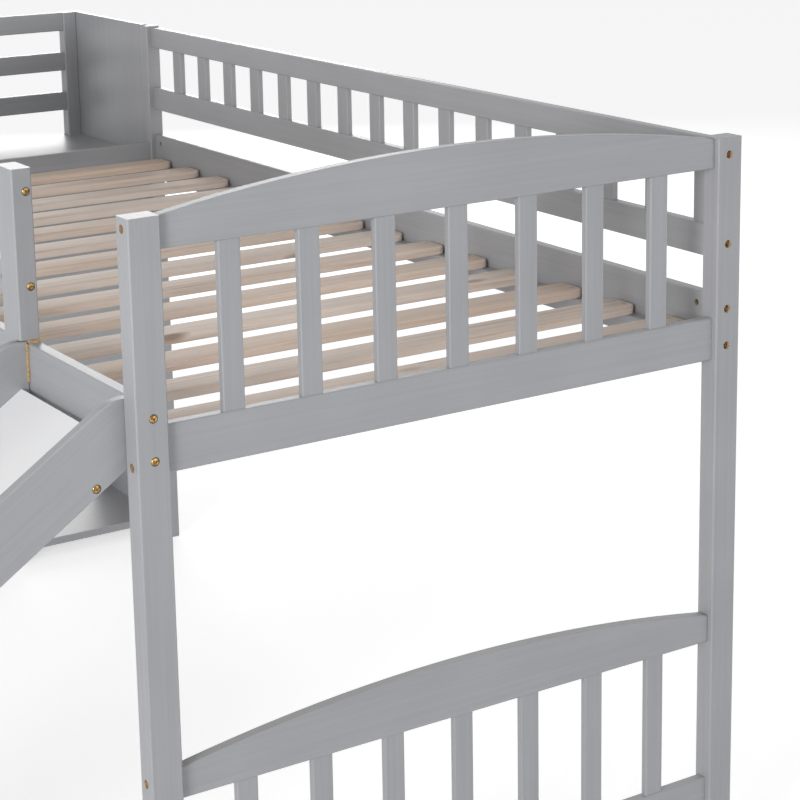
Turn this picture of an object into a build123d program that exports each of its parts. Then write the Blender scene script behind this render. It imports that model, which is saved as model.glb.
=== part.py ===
from build123d import *
from collections import namedtuple
import math
import os

os.makedirs("parts", exist_ok=True)

# Overall sizes of the bed frame, in millimetres
bed_width = 1060.0
bed_length = 2035.0
post_height = 1260.0
foot_post_width = 48.0
foot_post_depth = 36.0
head_post_width = 33.0
head_post_depth = 28.0
edge_ease = 2.0
thin_edge_ease = 1.0
packer_edge_ease = 0.5

# Side rails, the ledgers inside them and the slats on the ledgers
rail_thickness = 20.0
rail_inset = 12.0
rail_height = 100.0
rail_drop = 355.0
ledger_width = 22.0
ledger_height = 30.0
ledger_end_gap = 4.0
slat_count = 14
slat_width = 62.0
slat_thickness = 16.0
slat_drop = 53.0
slat_end_gap = 4.0
slat_margin = 30.0
slat_corner = 12.0

# Foot panels: an arched rail over spindles and a straight rail
panel_thickness = 18.0
panel_inset = 10.0
panel_height = 356.0
panel_top_drop = 2.0
lower_panel_lift = 114.0
arch_end_height = 46.0
arch_rise = 42.0
arch_corner = 6.0
panel_rail_height = 69.0
foot_spindle_count = 7
foot_spindle_width = 34.0

# Spindles of every panel, and the tenons that hold them
spindle_thickness = 12.0
spindle_ease = 1.5
tenon_width = 22.0
tenon_thickness = 7.0
tenon_length = 10.0
tenon_clearance = 0.2

# Guards above the side rails and across the head end
guard_top_drop = 4.0
guard_top_height = 46.0
guard_low_drop = 144.0
guard_low_height = 52.0
guard_spindle_width = 38.0
guard_gap = 84.0
guard_stile_width = 42.0
gate_post_rise = 8.0

# The gate post beside the slide and the raw packers under it
gate_post_width = 32.0
gate_post_depth = 60.0
packer_thickness = 5.0
packer_strip = 4.0

# Head end: its rail, and the gate opening onto the stair landing
head_rail_height = 80.0
head_panel_thickness = 18.0
head_gate_opening = 386.0
head_spindle_count = 4

# Slide
slide_angle = 33.7
slide_post_gap = 2.0
slide_clear_width = 340.0
slide_board_thickness = 18.0
slide_board_width = 94.0
slide_lift = 2.0
slide_top_rise = 3.0
slide_shoulder_radius = 60.0
slide_toe_length = 70.0
slide_toe_radius = 30.0
slide_panel_depth = 70.0
slide_panel_thickness = 5.0
slide_panel_gap = 14.0
slide_panel_end_height = 38.0
brace_count = 5
brace_length = 60.0
brace_thickness = 18.0
brace_start = 62.0

# Stairs across the head end
stair_depth = 400.0
landing_drop = 50.0
step_count = 4
stair_board = 18.0
stair_side_thickness = 15.0
stair_back_rise = 2.0
stair_shelf_height = 400.0
stair_base_lift = 30.0
tread_nosing = 12.0
railing_post = 33.0
railing_rail_thickness = 18.0
railing_rail_height = 45.0
railing_rail_pitch = 99.0
railing_rail_count = 3

# Bolts and the cross nuts that they draw up
bolt_radius = 3.0
bolt_clearance = 0.3
bolt_head_radius = 6.0
bolt_head_height = 4.0
bolt_socket_width = 5.0
bolt_socket_depth = 2.5
bore_radius = 6.5
bore_shallow = 3.0
bore_deep = 9.0
nut_distance = 26.0
nut_radius = 5.0
nut_length = 12.0
nut_clearance = 0.2
nut_thread_clearance = 0.1
bolt_past_nut = 9.0
bolt_tip_gap = 1.0
rail_bolt_spread = 60.0
panel_bolt_lift = 14.0
head_bolt_drop = 14.0

# Places across the bed, from the front, and along it, from the foot
rail_inner = foot_post_width - rail_inset
rail_outer = rail_inner - rail_thickness
rail_middle = (rail_inner + rail_outer) / 2
head_post_outer = foot_post_width - head_post_width
head_post_start = bed_length - head_post_depth
back_inner = bed_width - foot_post_width
panel_middle = panel_inset + panel_thickness / 2
head_middle = bed_length - head_post_depth / 2
total_length = bed_length + stair_depth

# Heights, all from the top of the posts down
rail_bottom = post_height - rail_drop
rail_top = rail_bottom + rail_height
landing_height = rail_top - landing_drop
stair_back_height = post_height + stair_back_rise
slide_low_edge = rail_bottom + slide_lift
slide_flat_top = rail_top + slide_top_rise
slat_top = rail_top - slat_drop
guard_top_low = post_height - guard_top_drop - guard_top_height
guard_low_top = post_height - guard_low_drop
guard_low_low = guard_low_top - guard_low_height
gate_post_top = post_height + gate_post_rise

# The slide's lines: the lower edge meets the bed at slide_low_edge and falls forwards
slide_slope = math.tan(math.radians(slide_angle))
slide_cosine = math.cos(math.radians(slide_angle))
slide_near = foot_post_depth + slide_post_gap
slide_inner_near = slide_near + slide_board_thickness
slide_inner_far = slide_inner_near + slide_clear_width
slide_far = slide_inner_far + slide_board_thickness
slide_upper_edge = slide_low_edge + slide_board_width / slide_cosine
slide_surface = slide_upper_edge - slide_panel_depth / slide_cosine
slide_heel_x = -slide_low_edge / slide_slope
slide_toe_x = slide_heel_x - slide_toe_length

# The row's origin is on the floor, under the middle of the whole object, whose foot end is
# where the shallow bolt heads stand proud of the post
bolt_proud = bolt_head_height - bore_shallow
middle_x = (bed_width + slide_toe_x) / 2
middle_y = (total_length - bolt_proud) / 2

right = Vector(1, 0, 0)
back = Vector(0, 1, 0)
up = Vector(0, 0, 1)
Bolt = namedtuple("Bolt", "head inward through bore nut_side nut_depth")


def spot(x, y, z):
    """A point measured from the front foot corner, in the row's frame."""
    return Vector(x - middle_x, y - middle_y, z)


def place(point, normal):
    """A plane at a point of the bed that faces along a normal."""
    return Plane(origin=spot(*point), z_dir=normal)


def from_back(x):
    """The same distance measured from the back of the bed."""
    return bed_width - x


def head_hole(bolt):
    """Cuts the counterbored hole that a bolt's head sits in."""
    with Locations(place(bolt.head, -bolt.inward)):
        CounterBoreHole(bolt_radius + bolt_clearance, bore_radius, bolt.bore, depth=bolt.through)


def nut_point(bolt):
    """Where the middle of a bolt's cross nut lies."""
    reach = bolt.inward * (bolt.through + nut_distance)
    return tuple(Vector(*bolt.head) + reach)


def nut_hole(bolt):
    """Cuts the blind bolt hole in a rail's end and the cross hole for its nut."""
    entry = Vector(*bolt.head) + bolt.inward * bolt.through
    with Locations(place(tuple(entry), -bolt.inward)):
        Hole(bolt_radius + bolt_clearance, depth=nut_distance + bolt_past_nut + bolt_tip_gap)
    mouth = Vector(*nut_point(bolt)) + bolt.nut_side * bolt.nut_depth
    with Locations(place(tuple(mouth), bolt.nut_side)):
        Hole(nut_radius + nut_clearance, depth=bolt.nut_depth + nut_length / 2)


def board(label, low, high, along, heads=(), nuts=(), mortises=(), ease=edge_ease):
    """A straight board between two corners, its long edges eased, with its holes and mortises."""
    size = [b - a for a, b in zip(low, high)]
    with BuildPart() as piece:
        with BuildSketch(Plane(origin=spot(*low))):
            Rectangle(size[0], size[1], align=(Align.MIN, Align.MIN))
        extrude(amount=size[2])
        chamfer(piece.edges().filter_by(along), length=ease)
        for bolt in heads:
            head_hole(bolt)
        for bolt in nuts:
            nut_hole(bolt)
        for centre, normal, across in mortises:
            mortise(centre, normal, across)
    return finish(piece, label)


def mortise(centre, normal, across):
    """Cuts the blind slot that a spindle's tenon fits."""
    fit = 2 * tenon_clearance
    size = (tenon_width + fit, tenon_thickness + fit)
    if across == back:
        size = size[::-1]
    with BuildSketch(Plane(origin=spot(*centre), x_dir=right, z_dir=normal)) as slot:
        Rectangle(*size)
    extrude(slot.sketch, amount=-(tenon_length + tenon_clearance), mode=Mode.SUBTRACT)


def finish(piece, label):
    """Labels a piece and writes its file."""
    piece.part.label = label
    export_step(piece.part, "parts/" + label + ".step")
    return piece.part


def spindle_row(label, centres, low, high, width, across):
    """A row of spindles between two rails, each with a tenon at both ends."""
    sides = (width, spindle_thickness) if across == right else (spindle_thickness, width)
    tenon = (tenon_width, tenon_thickness) if across == right else (tenon_thickness, tenon_width)
    with BuildPart() as row:
        with BuildSketch(Plane.XY.offset(low)):
            with Locations(*[spot(x, y, 0) for x, y in centres]):
                Rectangle(*sides)
        extrude(amount=high - low)
        chamfer(row.edges().filter_by(Axis.Z), length=spindle_ease)
        for height in (low - tenon_length, high):
            with BuildSketch(Plane.XY.offset(height)):
                with Locations(*[spot(x, y, 0) for x, y in centres]):
                    Rectangle(*tenon)
            extrude(amount=tenon_length)
    return finish(row, label)


def slots(centres, height, normal, across):
    """The mortises of a row of spindles in one rail."""
    return [((x, y, height), normal, across) for x, y in centres]


def even(low_face, high_face, width, count):
    """Middles of members of one width that leave equal gaps between two faces."""
    pitch = (high_face - low_face + width) / (count + 1)
    return [low_face - width / 2 + pitch * (i + 1) for i in range(count)]


# Bolts that hold the side rails to the posts, two at each end
rail_middle_z = rail_bottom + rail_height / 2
rail_bolt_heights = [rail_middle_z - rail_bolt_spread / 2, rail_middle_z + rail_bolt_spread / 2]
guard_top_middle = guard_top_low + guard_top_height / 2
guard_low_middle = guard_low_low + guard_low_height / 2


def along_bolt(x, z, at_foot, bore, nut_side):
    """A bolt that runs along the bed through a post into a rail's end."""
    if at_foot:
        return Bolt((x, 0, z), back, foot_post_depth, bore, nut_side, rail_thickness / 2)
    return Bolt((x, bed_length, z), -back, head_post_depth, bore, nut_side, rail_thickness / 2)


back_middle = from_back(rail_middle)
front_rail_bolts = [along_bolt(rail_middle, z, True, bore_shallow, right) for z in rail_bolt_heights]
front_rail_head_bolts = [along_bolt(rail_middle, z, False, bore_deep, right) for z in rail_bolt_heights]
back_rail_bolts = [along_bolt(back_middle, z, True, bore_deep, -right) for z in rail_bolt_heights]
back_rail_head_bolts = [along_bolt(back_middle, z, False, bore_deep, -right) for z in rail_bolt_heights]
back_top_bolts = [along_bolt(back_middle, guard_top_middle, end, bore_deep, right) for end in (True, False)]
back_low_bolts = [along_bolt(back_middle, guard_low_middle, end, bore_deep, right) for end in (True, False)]

# Bolts of the front guard: through the gate post, and through the front head post
gate_post_start = slide_inner_far
gate_post_end = gate_post_start + gate_post_depth
front_top_bolts = [
    Bolt((rail_middle, gate_post_start, guard_top_middle), back, gate_post_depth, bore_shallow,
         -right, rail_thickness / 2),
    along_bolt(rail_middle, guard_top_middle, False, bore_deep, -right),
]
front_low_bolts = [
    Bolt((rail_middle, gate_post_start, guard_low_middle), back, gate_post_depth, bore_shallow,
         -right, rail_thickness / 2),
    along_bolt(rail_middle, guard_low_middle, False, bore_deep, -right),
]


def across_bolt(z, on_front, y, post_outer, post_width, thickness):
    """A bolt that runs across the bed through a post into a panel's rail."""
    if on_front:
        return Bolt((post_outer, y, z), right, post_width, bore_deep, back, thickness / 2)
    return Bolt((from_back(post_outer), y, z), -right, post_width, bore_deep, back, thickness / 2)


# Foot panels, each with a bolt into both ends of its two rails
panel_tops = [post_height - panel_top_drop, lower_panel_lift + panel_height]
panel_bolts = []
for top in panel_tops:
    upper = [across_bolt(top - panel_bolt_lift, front, panel_middle, 0, foot_post_width, panel_thickness)
             for front in (True, False)]
    lower = [across_bolt(top - panel_height + panel_bolt_lift, front, panel_middle, 0, foot_post_width,
                         panel_thickness) for front in (True, False)]
    panel_bolts.append((upper, lower))

# Head end bolts: the head rail between the head posts, and the short guard's two rails
head_rail_top = rail_bottom + head_rail_height
head_rail_middle = rail_bottom + head_rail_height / 2
gate_right = back_inner - head_gate_opening
gate_left = gate_right - head_post_width
head_rail_bolts = [across_bolt(head_rail_middle, front, head_middle, head_post_outer, head_post_width,
                               head_panel_thickness) for front in (True, False)]


def short_guard_bolts(z):
    """Bolts into both ends of a rail of the head guard."""
    return [
        across_bolt(z, True, head_middle, head_post_outer, head_post_width, head_panel_thickness),
        Bolt((gate_right, head_middle, z), -right, head_post_width, bore_deep, back,
             head_panel_thickness / 2),
    ]


head_top_bolts = short_guard_bolts(guard_top_middle - head_bolt_drop)
head_low_bolts = short_guard_bolts(guard_low_middle - head_bolt_drop)

# Posts
front_foot_heads = front_rail_bolts + [bolts[i][0] for bolts in panel_bolts for i in (0, 1)]
back_foot_heads = (back_rail_bolts + [back_top_bolts[0], back_low_bolts[0]]
                   + [bolts[i][1] for bolts in panel_bolts for i in (0, 1)])
front_head_heads = (front_rail_head_bolts + [front_top_bolts[1], front_low_bolts[1], head_rail_bolts[0]]
                    + [head_top_bolts[0], head_low_bolts[0]])
back_head_heads = back_rail_head_bolts + [back_top_bolts[1], back_low_bolts[1], head_rail_bolts[1]]
board("foot_post_front", (0, 0, 0), (foot_post_width, foot_post_depth, post_height), Axis.Z,
      heads=front_foot_heads)
board("foot_post_back", (back_inner, 0, 0), (bed_width, foot_post_depth, post_height), Axis.Z,
      heads=back_foot_heads)
board("head_post_front", (head_post_outer, head_post_start, 0), (foot_post_width, bed_length, post_height),
      Axis.Z, heads=front_head_heads)
board("head_post_back", (back_inner, head_post_start, 0),
      (from_back(head_post_outer), bed_length, post_height), Axis.Z, heads=back_head_heads)

# Side rails and their ledgers. The front rail also carries the bolts that hold the slide's boards
slide_end_bolts = [Bolt((rail_inner, y + slide_board_thickness / 2, rail_middle_z), -right, rail_thickness,
                        bore_shallow, back, slide_board_thickness / 2) for y in (slide_near, slide_inner_far)]
board("side_rail_front", (rail_outer, foot_post_depth, rail_bottom), (rail_inner, head_post_start, rail_top),
      Axis.Y, heads=slide_end_bolts, nuts=front_rail_bolts + front_rail_head_bolts)
board("side_rail_back", (from_back(rail_inner), foot_post_depth, rail_bottom),
      (from_back(rail_outer), head_post_start, rail_top), Axis.Y, nuts=back_rail_bolts + back_rail_head_bolts)
ledger_start = foot_post_depth + ledger_end_gap
ledger_end = head_post_start - ledger_end_gap
ledger_top = slat_top - slat_thickness
ledger_back_start = from_back(rail_inner) - ledger_width
for label, near in (("slat_ledger_front", rail_inner), ("slat_ledger_back", ledger_back_start)):
    board(label, (near, ledger_start, ledger_top - ledger_height),
          (near + ledger_width, ledger_end, ledger_top), Axis.Y)

# Slats, evenly spaced on the ledgers, with rounded corners
slat_start = foot_post_depth + slat_margin + slat_width / 2
slat_end = head_post_start - slat_margin - slat_width / 2
slat_pitch = (slat_end - slat_start) / (slat_count - 1)
slat_length = bed_width - 2 * (rail_inner + slat_end_gap)
with BuildPart() as slats:
    with BuildSketch(Plane.XY.offset(ledger_top)):
        with Locations(*[spot(bed_width / 2, slat_start + i * slat_pitch, 0) for i in range(slat_count)]):
            RectangleRounded(slat_length, slat_width, slat_corner)
    extrude(amount=slat_thickness)
finish(slats, "slats")


def arched_rail(label, top, bolts, mortises):
    """The rail over a foot panel: straight below, and one shallow arch above."""
    low = top - arch_end_height
    start, end = foot_post_width, back_inner
    front_face = Plane(origin=spot(0, panel_inset, 0), x_dir=right, z_dir=-back)
    with BuildPart() as rail:
        with BuildSketch(front_face) as outline:
            with BuildLine():
                Line((start, low), (end, low))
                Line((end, low), (end, top))
                ThreePointArc((end, top), ((start + end) / 2, top + arch_rise), (start, top))
                Line((start, top), (start, low))
            make_face()
            fillet(outline.vertices().group_by(Axis.Y)[-1], arch_corner)
        extrude(amount=-panel_thickness)
        faces = rail.faces().filter_by(Axis.Y)
        chamfer(faces.edges(), length=thin_edge_ease)
        for bolt in bolts:
            nut_hole(bolt)
        for centre, normal, across in mortises:
            mortise(centre, normal, across)
    return finish(rail, label)


# Foot panels
foot_spindle_xs = even(foot_post_width, back_inner, foot_spindle_width, foot_spindle_count)
foot_centres = [(x, panel_middle) for x in foot_spindle_xs]
for name, top, (upper, lower) in zip(("upper", "lower"), panel_tops, panel_bolts):
    arch_low = top - arch_end_height
    panel_low = top - panel_height
    panel_rail_top = panel_low + panel_rail_height
    arched_rail(f"foot_{name}_arched_rail", top, upper, slots(foot_centres, arch_low, -up, right))
    board(f"foot_{name}_bottom_rail", (foot_post_width, panel_inset, panel_low),
          (back_inner, panel_inset + panel_thickness, panel_rail_top), Axis.X, nuts=lower,
          mortises=slots(foot_centres, panel_rail_top, up, right))
    spindle_row(f"foot_{name}_spindles", foot_centres, panel_rail_top, arch_low, foot_spindle_width, right)


def long_guard(name, inner, outer, start, centres, top_bolts, low_bolts):
    """The two rails and the spindles of a guard along a side of the bed."""
    board(f"{name}_guard_top_rail", (inner, start, guard_top_low),
          (outer, head_post_start, guard_top_low + guard_top_height), Axis.Y, nuts=top_bolts,
          mortises=slots(centres, guard_top_low, -up, back))
    board(f"{name}_guard_low_rail", (inner, start, guard_low_low), (outer, head_post_start, guard_low_top),
          Axis.Y, nuts=low_bolts, mortises=slots(centres, guard_low_top, up, back))
    spindle_row(f"{name}_guard_spindles", centres, guard_low_top, guard_top_low, guard_spindle_width, back)


def guard_centres(x, start):
    """Middles of a guard's spindles at the guard's pitch, as many as fit before the head post."""
    pitch = guard_gap + guard_spindle_width
    count = int((head_post_start - start) // pitch)
    return [(x, start + guard_gap + guard_spindle_width / 2 + i * pitch) for i in range(count)]


# Back guard, with a stile against the foot post
stile_end = foot_post_depth + guard_stile_width
long_guard("back", from_back(rail_inner), from_back(rail_outer), foot_post_depth,
           guard_centres(back_middle, stile_end), back_top_bolts, back_low_bolts)
board("back_guard_stile", (back_middle - spindle_thickness / 2, foot_post_depth, guard_low_top),
      (back_middle + spindle_thickness / 2, stile_end, guard_top_low), Axis.Z, ease=spindle_ease)

# Front guard, from the gate post to the head
long_guard("front", rail_outer, rail_inner, gate_post_end, guard_centres(rail_middle, gate_post_end),
           front_top_bolts, front_low_bolts)
board("front_gate_post", (rail_inner - gate_post_width, gate_post_start, rail_top + packer_thickness),
      (rail_inner, gate_post_end, gate_post_top), Axis.Z, heads=[front_top_bolts[0], front_low_bolts[0]])
board("gate_post_packer", (rail_outer, gate_post_start - packer_strip, rail_top),
      (rail_inner, gate_post_end, rail_top + packer_thickness), Axis.Y, ease=packer_edge_ease)

# Head end
head_face = head_middle - head_panel_thickness / 2
head_back_face = head_middle + head_panel_thickness / 2
board("head_rail", (foot_post_width, head_face, rail_bottom), (back_inner, head_back_face, head_rail_top),
      Axis.X, nuts=head_rail_bolts)
board("head_gate_post", (gate_left, head_post_start, head_rail_top), (gate_right, bed_length, gate_post_top),
      Axis.Z, heads=[head_top_bolts[1], head_low_bolts[1]])
head_spindle_xs = even(foot_post_width, gate_left, guard_spindle_width, head_spindle_count)
head_centres = [(x, head_middle) for x in head_spindle_xs]
board("head_guard_top_rail", (foot_post_width, head_face, guard_top_low),
      (gate_left, head_back_face, guard_top_low + guard_top_height), Axis.X, nuts=head_top_bolts,
      mortises=slots(head_centres, guard_top_low, -up, right))
board("head_guard_low_rail", (foot_post_width, head_face, guard_low_low),
      (gate_left, head_back_face, guard_low_top), Axis.X, nuts=head_low_bolts,
      mortises=slots(head_centres, guard_low_top, up, right))
spindle_row("head_guard_spindles", head_centres, guard_low_top, guard_top_low, guard_spindle_width, right)

# Slide: frames of the sloping surface, whose x runs down the slope and z out of the surface
slope_down = Vector(-slide_cosine, 0, -slide_cosine * slide_slope)
slope_out = Vector(-slide_cosine * slide_slope, 0, slide_cosine)


def on_slope(run, y, depth):
    """A point at a distance down the slope and below the slide's surface."""
    top = Vector(0, y, slide_surface)
    return tuple(top + slope_down * run - slope_out * depth)


panel_start = (slide_panel_gap - rail_outer) / slide_cosine
panel_end = (slide_surface - slide_panel_end_height) / (slide_cosine * slide_slope)
brace_pitch = (panel_end - brace_length / 2 - brace_start) / (brace_count - 1)
brace_runs = [brace_start + i * brace_pitch for i in range(brace_count)]
brace_middle = slide_panel_thickness + brace_thickness / 2
near_slide_bolts = [Bolt(on_slope(run, slide_near, brace_middle), back, slide_board_thickness, bore_shallow,
                         -slope_out, brace_thickness / 2) for run in brace_runs]
far_slide_bolts = [Bolt(on_slope(run, slide_far, brace_middle), -back, slide_board_thickness, bore_shallow,
                        -slope_out, brace_thickness / 2) for run in brace_runs]


def slide_board(label, y, heads, end_bolt):
    """A side board: flat where it meets the bed, then down the slope to a toe on the floor."""
    shoulder_x = (slide_flat_top - slide_upper_edge) / slide_slope
    face = Plane(origin=spot(0, y, 0), x_dir=right, z_dir=-back)
    with BuildPart() as side:
        with BuildSketch(face) as outline:
            with BuildLine():
                Polyline((rail_outer, slide_flat_top), (shoulder_x, slide_flat_top),
                         (slide_toe_x, slide_upper_edge + slide_slope * slide_toe_x),
                         (slide_toe_x, 0), (slide_heel_x, 0),
                         (rail_outer, slide_low_edge + slide_slope * rail_outer), close=True)
            make_face()
            shoulder = outline.vertices().sort_by_distance(Vector(shoulder_x, slide_flat_top))[0]
            fillet(shoulder, slide_shoulder_radius)
            toe = outline.vertices().group_by(Axis.X)[0].sort_by(Axis.Y)[-1]
            fillet(toe, slide_toe_radius)
        extrude(amount=-slide_board_thickness)
        chamfer(side.faces().filter_by(Axis.Y).edges(), length=edge_ease)
        for bolt in heads:
            head_hole(bolt)
        nut_hole(end_bolt)
    return finish(side, label)


slide_board("slide_board_near", slide_near, near_slide_bolts, slide_end_bolts[0])
slide_board("slide_board_far", slide_inner_far, far_slide_bolts, slide_end_bolts[1])

slide_middle = slide_inner_near + slide_clear_width / 2
sloping = Plane(origin=spot(0, slide_middle, slide_surface), x_dir=slope_down, z_dir=slope_out)
with BuildPart() as slide_panel:
    with BuildSketch(sloping):
        with Locations(((panel_start + panel_end) / 2, 0)):
            Rectangle(panel_end - panel_start, slide_clear_width)
    extrude(amount=-slide_panel_thickness)
finish(slide_panel, "slide_panel")

with BuildPart() as slide_braces:
    with BuildSketch(sloping.offset(-slide_panel_thickness)):
        with Locations(*[(run, 0) for run in brace_runs]):
            Rectangle(brace_length, slide_clear_width)
    extrude(amount=-brace_thickness)
    for bolt in near_slide_bolts + far_slide_bolts:
        nut_hole(bolt)
finish(slide_braces, "slide_braces")

strip_low = slide_surface + slide_slope * rail_outer
board("slide_packer_strip", (rail_outer - packer_strip, slide_inner_far - packer_strip, strip_low),
      (rail_outer, slide_inner_far, rail_top), Axis.Z, ease=packer_edge_ease)

# Stairs: full height dividers under stepped treads, with a tall back board beside the landing
stair_front = head_post_outer
stair_near = bed_length
stair_far = total_length
carcass_near = stair_near + stair_side_thickness
rise = landing_height / step_count
going = (gate_right - stair_front) / (step_count - 1)
fronts = [stair_front + i * going for i in range(step_count)]
ends = fronts[1:] + [back_inner]
tread_tops = [rise * (i + 1) for i in range(step_count)]

near_face = Plane(origin=spot(0, stair_near, 0), x_dir=right, z_dir=-back)
with BuildPart() as stair_side:
    with BuildSketch(near_face):
        with BuildLine():
            outline_points = [(stair_front, 0)]
            for front, end, top in zip(fronts, ends, tread_tops):
                outline_points += [(front, top - stair_board), (end, top - stair_board)]
            bay_x = fronts[-1] + stair_board
            outline_points += [(back_inner, stair_shelf_height), (bay_x, stair_shelf_height), (bay_x, 0)]
            Polyline(*outline_points, close=True)
        make_face()
    extrude(amount=-stair_side_thickness)
finish(stair_side, "stair_side_board")

board("stair_back_board", (back_inner, stair_near, 0),
      (back_inner + stair_side_thickness, stair_far, stair_back_height), Axis.Z, ease=thin_edge_ease)
for i, (front, top) in enumerate(zip(fronts, tread_tops)):
    board(f"stair_divider_{i + 1}", (front, carcass_near, 0),
          (front + stair_board, stair_far, top - stair_board), Axis.Z, ease=thin_edge_ease)
for i, (front, end, top) in enumerate(zip(fronts, ends, tread_tops)):
    label = "stair_landing" if i == step_count - 1 else f"stair_tread_{i + 1}"
    board(label, (front - tread_nosing, stair_near, top - stair_board), (end, stair_far, top), Axis.Y)
board("stair_shelf", (fronts[-1] + stair_board, carcass_near, stair_shelf_height - stair_board),
      (back_inner, stair_far, stair_shelf_height), Axis.Y, ease=thin_edge_ease)
with BuildPart() as stair_bases:
    with BuildSketch(Plane(origin=spot(0, 0, stair_base_lift))):
        for front, end in zip(fronts, ends):
            near = front + stair_board
            depth = stair_far - carcass_near
            with Locations(((near + end) / 2, carcass_near + depth / 2)):
                Rectangle(end - near, depth)
    extrude(amount=stair_board)
finish(stair_bases, "stair_base_boards")

# Railing on the far side of the landing
railing_left = gate_right - tread_nosing
railing_rail_near = stair_far - railing_post / 2 - railing_rail_thickness / 2
railing_right = back_inner - railing_post
for label, low_x in (("railing_post_step", railing_left), ("railing_post_corner", railing_right)):
    board(label, (low_x, stair_far - railing_post, landing_height),
          (low_x + railing_post, stair_far, stair_back_height), Axis.Z)
for i in range(railing_rail_count):
    high = stair_back_height - i * railing_rail_pitch
    board(f"railing_rail_{i + 1}",
          (railing_left + railing_post, railing_rail_near, high - railing_rail_height),
          (railing_right, railing_rail_near + railing_rail_thickness, high), Axis.X)


def bolt_set(label, bolts):
    """Socket headed bolts, each from its counterbore through its cross nut."""
    with BuildPart() as group:
        for bolt in bolts:
            seat = Vector(*bolt.head) + bolt.inward * bolt.bore
            with BuildSketch(place(tuple(seat), -bolt.inward)) as head:
                Circle(bolt_head_radius)
            extrude(head.sketch, amount=bolt_head_height)
            with BuildSketch(place(tuple(seat), bolt.inward)) as shank:
                Circle(bolt_radius)
            extrude(shank.sketch, amount=bolt.through - bolt.bore + nut_distance + bolt_past_nut)
            crown = seat - bolt.inward * bolt_head_height
            with BuildSketch(place(tuple(crown), -bolt.inward)) as socket:
                RegularPolygon(bolt_socket_width / 2, 6, major_radius=False)
            extrude(socket.sketch, amount=-bolt_socket_depth, mode=Mode.SUBTRACT)
    return finish(group, label)


def nut_set(label, bolts):
    """Cross nuts in their holes, each bored for its bolt."""
    with BuildPart() as group:
        for bolt in bolts:
            mouth = Vector(*nut_point(bolt)) + bolt.nut_side * (nut_length / 2)
            with BuildSketch(place(tuple(mouth), bolt.nut_side)) as body:
                Circle(nut_radius)
            extrude(body.sketch, amount=-nut_length)
            start = Vector(*nut_point(bolt)) - bolt.inward * nut_radius
            with Locations(place(tuple(start), -bolt.inward)):
                Hole(bolt_radius + nut_thread_clearance, depth=2 * nut_radius)
    return finish(group, label)


foot_bolts = front_rail_bolts + back_rail_bolts + [back_top_bolts[0], back_low_bolts[0]]
head_bolts = (front_rail_head_bolts + back_rail_head_bolts
              + [back_top_bolts[1], back_low_bolts[1], front_top_bolts[1], front_low_bolts[1]])
cross_bolts = [bolt for pair in panel_bolts for side in pair for bolt in side]
head_cross_bolts = head_rail_bolts + head_top_bolts + head_low_bolts
gate_bolts = [front_top_bolts[0], front_low_bolts[0]]
slide_bolts = near_slide_bolts + far_slide_bolts
bolt_set("foot_post_bolts", foot_bolts)
bolt_set("head_post_bolts", head_bolts)
bolt_set("foot_panel_bolts", cross_bolts)
bolt_set("head_panel_bolts", head_cross_bolts)
bolt_set("gate_post_bolts", gate_bolts)
bolt_set("slide_bolts", slide_bolts)
bolt_set("slide_end_bolts", slide_end_bolts)
nut_set("frame_cross_nuts", foot_bolts + head_bolts + cross_bolts + head_cross_bolts + gate_bolts)
nut_set("slide_cross_nuts", slide_bolts + slide_end_bolts)
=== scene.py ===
import bmesh
import bpy
import math
import random
from mathutils import Matrix, Vector
from bpy.props import FloatProperty, FloatVectorProperty, IntProperty, PointerProperty


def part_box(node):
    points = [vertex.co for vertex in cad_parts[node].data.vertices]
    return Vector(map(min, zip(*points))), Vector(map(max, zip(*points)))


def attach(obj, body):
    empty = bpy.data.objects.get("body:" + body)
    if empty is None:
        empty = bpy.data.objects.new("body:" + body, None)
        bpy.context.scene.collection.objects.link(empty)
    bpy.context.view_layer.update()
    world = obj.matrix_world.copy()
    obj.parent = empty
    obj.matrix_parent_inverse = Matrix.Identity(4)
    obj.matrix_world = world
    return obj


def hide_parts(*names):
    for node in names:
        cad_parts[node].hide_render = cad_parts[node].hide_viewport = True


bl_info = {
    "name": "Loft Bed with Slide",
    "version": (1, 0, 0),
    "blender": (4, 5, 0),
    "location": "View3D > Sidebar > Loft Bed",
    "description": "Dresses a loft bed's frame with paint, slats, fasteners and a studio stage",
    "category": "Object",
}

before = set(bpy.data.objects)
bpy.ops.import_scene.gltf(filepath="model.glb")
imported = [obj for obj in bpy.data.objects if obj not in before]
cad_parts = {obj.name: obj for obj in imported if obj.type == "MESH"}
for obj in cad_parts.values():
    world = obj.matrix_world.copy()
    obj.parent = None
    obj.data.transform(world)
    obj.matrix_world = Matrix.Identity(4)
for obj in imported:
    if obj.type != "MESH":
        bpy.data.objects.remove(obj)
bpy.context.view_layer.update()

MM = 0.001
MERGE = 0.01 * MM
END_BAND = 10 * MERGE
BODY = "root"
SHARP = math.radians(35)
TURN = 2 * math.pi
SLIDE_TILT = math.radians(33.7)

# Where the camera stands, how far it is turned from looking level along the bed, and its sensor
CAMERA_PLACE = (-0.9694, -3.6803, 1.8135)
CAMERA_YAW = math.radians(32.601)
CAMERA_PITCH = math.radians(12.274)
CAMERA_ROLL = math.radians(0.980)
CAMERA_SENSOR = 36.0
CAMERA_REACH = 100.0

# Each softbox's place, its width and height, and the setting that holds its power
SOFTBOXES = {
    "key_softbox": ((-6.0, -4.6, 2.4), (2.2, 2.0), "key_power"),
    "fill_softbox": ((3.0, -6.5, 1.9), (3.0, 2.4), "fill_power"),
    "rear_softbox": ((3.5, 6.0, 2.6), (3.0, 2.4), "rear_power"),
}
LIT_POINT = (0.2, 0.0, 0.8)


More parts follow.
